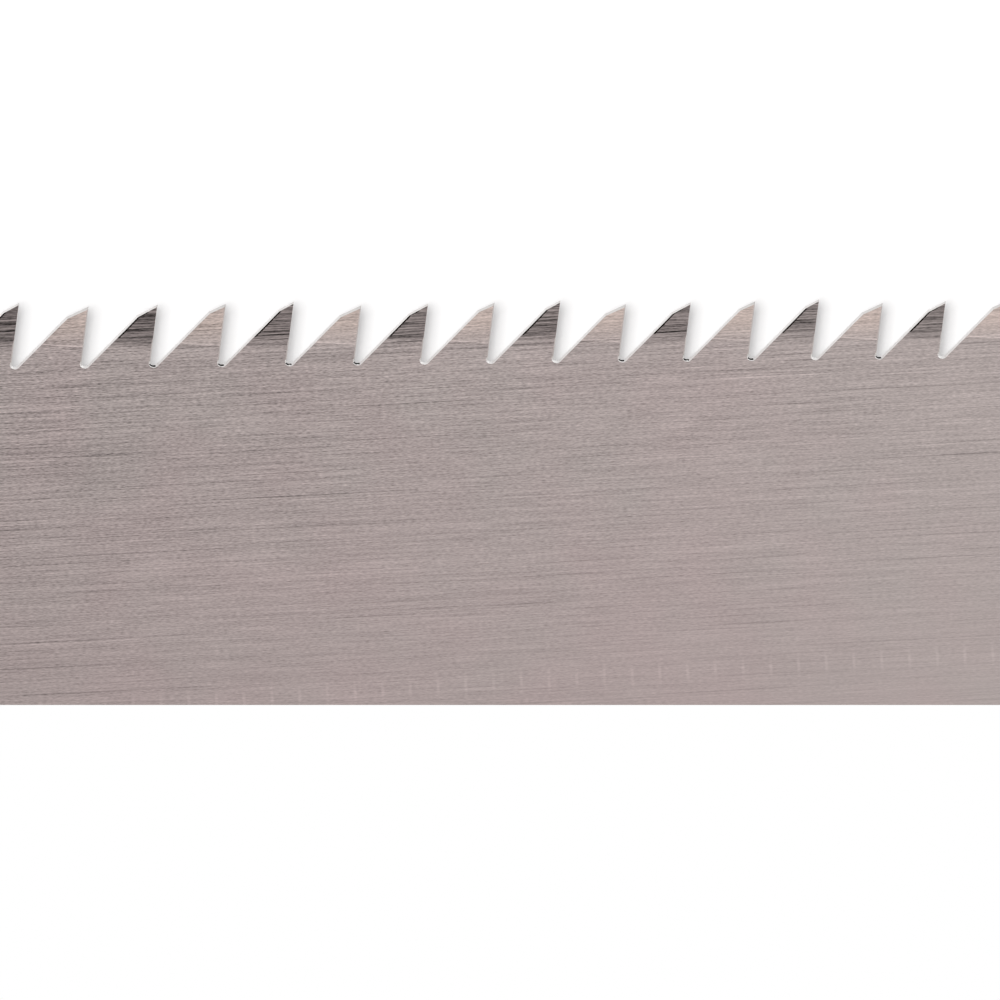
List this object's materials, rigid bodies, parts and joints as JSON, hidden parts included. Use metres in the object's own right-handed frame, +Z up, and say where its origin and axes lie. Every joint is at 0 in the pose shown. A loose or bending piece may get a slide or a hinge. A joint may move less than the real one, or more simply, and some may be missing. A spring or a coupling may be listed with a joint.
{
  "type": "ryoba saw",
  "caption": "Two-edged Japanese pull saw with rip and crosscut teeth, a blade held by a screw clamp, and a long oval handle wrapped in rattan.",
  "frame": {"origin": "on the floor below the centre of the saw's bounding box, with the saw lying flat", "axes": "+X from the toe of the blade to the butt of the handle, +Y towards the rip teeth, +Z up out of the side that carries the clamp screw's head"},
  "size_m": [0.609, 0.0877, 0.0255],
  "materials": {
    "blade_steel": "brushed along the blade",
    "clamp_plate": "satin nickel plate",
    "spacer_steel": "plain",
    "rivet_steel": "polished",
    "screw_steel": "satin nickel plate",
    "spring_steel": "blackened",
    "band_steel": "satin",
    "handle_wood": "plain, lightly oiled",
    "dowel_wood": "plain",
    "rattan": "smooth split cane",
    "brass": "satin"
  },
  "bodies": {
    "grip": {"upper_cheek": "clamp_plate", "lower_cheek": "clamp_plate", "slot_frame": "spacer_steel", "cheek_rivets": "rivet_steel", "clamp_nut": "screw_steel", "ferrule": "band_steel", "ferrule_pins": "brass", "core_upper": "handle_wood", "core_lower": "handle_wood", "core_dowels": "dowel_wood", "tang_pins": "spacer_steel", "rattan_wrap": "rattan", "rear_ring": "band_steel", "ring_pins": "brass", "hanging_eyelet": "brass", "eyelet_washer": "brass"},
    "blade": {"blade": "blade_steel"},
    "clamp_washer": {"clamp_washer": "screw_steel"},
    "clamp_screw": {"clamp_screw": "screw_steel", "screw_clip": "spring_steel"}
  },
  "joints": [
    {"name": "blade_slide", "type": "slide", "parent": "grip", "child": "blade", "axis": [-1, 0, 0], "range_m": [0, 0.06]},
    {"name": "washer_lift", "type": "slide", "parent": "grip", "child": "clamp_washer", "axis": [0, 0, 1], "range_m": [0, 0.0016]},
    {"name": "screw_turn", "type": "hinge", "parent": "clamp_washer", "child": "clamp_screw", "pos_m": [-0.0205, 0, 0.01274], "axis": [0, 0, 1], "range_deg": [0, 720]}
  ],
  "couplings": [
    {"joint": "screw_turn", "follows": "washer_lift", "rad_per_m": 7854}
  ]
}
